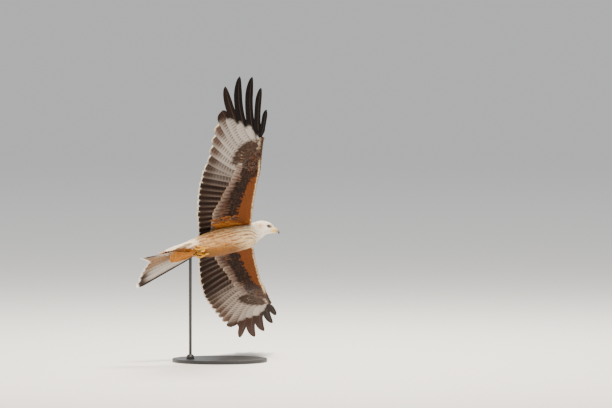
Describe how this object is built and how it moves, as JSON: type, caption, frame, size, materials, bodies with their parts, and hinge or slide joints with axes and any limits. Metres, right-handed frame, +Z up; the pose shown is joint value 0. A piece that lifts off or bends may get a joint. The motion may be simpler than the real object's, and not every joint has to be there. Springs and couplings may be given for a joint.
{
  "type": "red kite bird model in flight on a display stand",
  "caption": "Life-size museum model of a red kite banking in flight, wings spread and forked tail fanned, held on one rod above a round flat base.",
  "frame": {"origin": "centre of the stand base's flat underside, on the floor", "axes": "+Z up; +X the way the bird flies, within about ten degrees; +Y away from the picture's camera, towards the lowered left wing"},
  "size_m": [0.5746, 1.0135, 1.1607],
  "materials": {
    "head_feathers": "soft matt feathers, cream",
    "body_feathers": "soft matt feathers, cream to rufous with dark centres",
    "wing_coverts": "matt feathers, rufous with black centres",
    "flight_feathers": "satin flight feathers, blackish brown with a pale panel",
    "tail_feathers": "satin tail feathers, rufous above and pale below",
    "bill": "smooth horn, dark at the tip",
    "yellow_skin": "bare yellow skin with small scales",
    "claw": "polished black horn",
    "eye": "wet, clear and rounded",
    "stand_metal": "black satin powder coat on steel"
  },
  "bodies": {
    "root": {"bill_lower": "bill", "bill_upper": "bill", "cere": "yellow_skin", "claw_left_hind": "claw", "claw_left_inner": "claw", "claw_left_middle": "claw", "claw_left_outer": "claw", "claw_right_hind": "claw", "claw_right_inner": "claw", "claw_right_middle": "claw", "claw_right_outer": "claw", "eye_left": "eye", "eye_right": "eye", "foot_left": "yellow_skin", "foot_right": "yellow_skin", "head": "head_feathers", "neck": "head_feathers", "rump": "body_feathers", "stand_base": "stand_metal", "stand_collar": "stand_metal", "stand_rod": "stand_metal", "tail_left": "tail_feathers", "tail_right": "tail_feathers", "thigh_left": "body_feathers", "thigh_right": "body_feathers", "trunk": "body_feathers", "wing_left_arm": "wing_coverts", "wing_left_hand": "wing_coverts", "wing_left_p10": "flight_feathers", "wing_left_p6": "flight_feathers", "wing_left_p7": "flight_feathers", "wing_left_p8": "flight_feathers", "wing_left_p9": "flight_feathers", "wing_left_primaries": "flight_feathers", "wing_left_secondaries": "flight_feathers", "wing_right_arm": "wing_coverts", "wing_right_hand": "wing_coverts", "wing_right_p10": "flight_feathers", "wing_right_p6": "flight_feathers", "wing_right_p7": "flight_feathers", "wing_right_p8": "flight_feathers", "wing_right_p9": "flight_feathers", "wing_right_primaries": "flight_feathers", "wing_right_secondaries": "flight_feathers"}
  },
  "joints": []
}
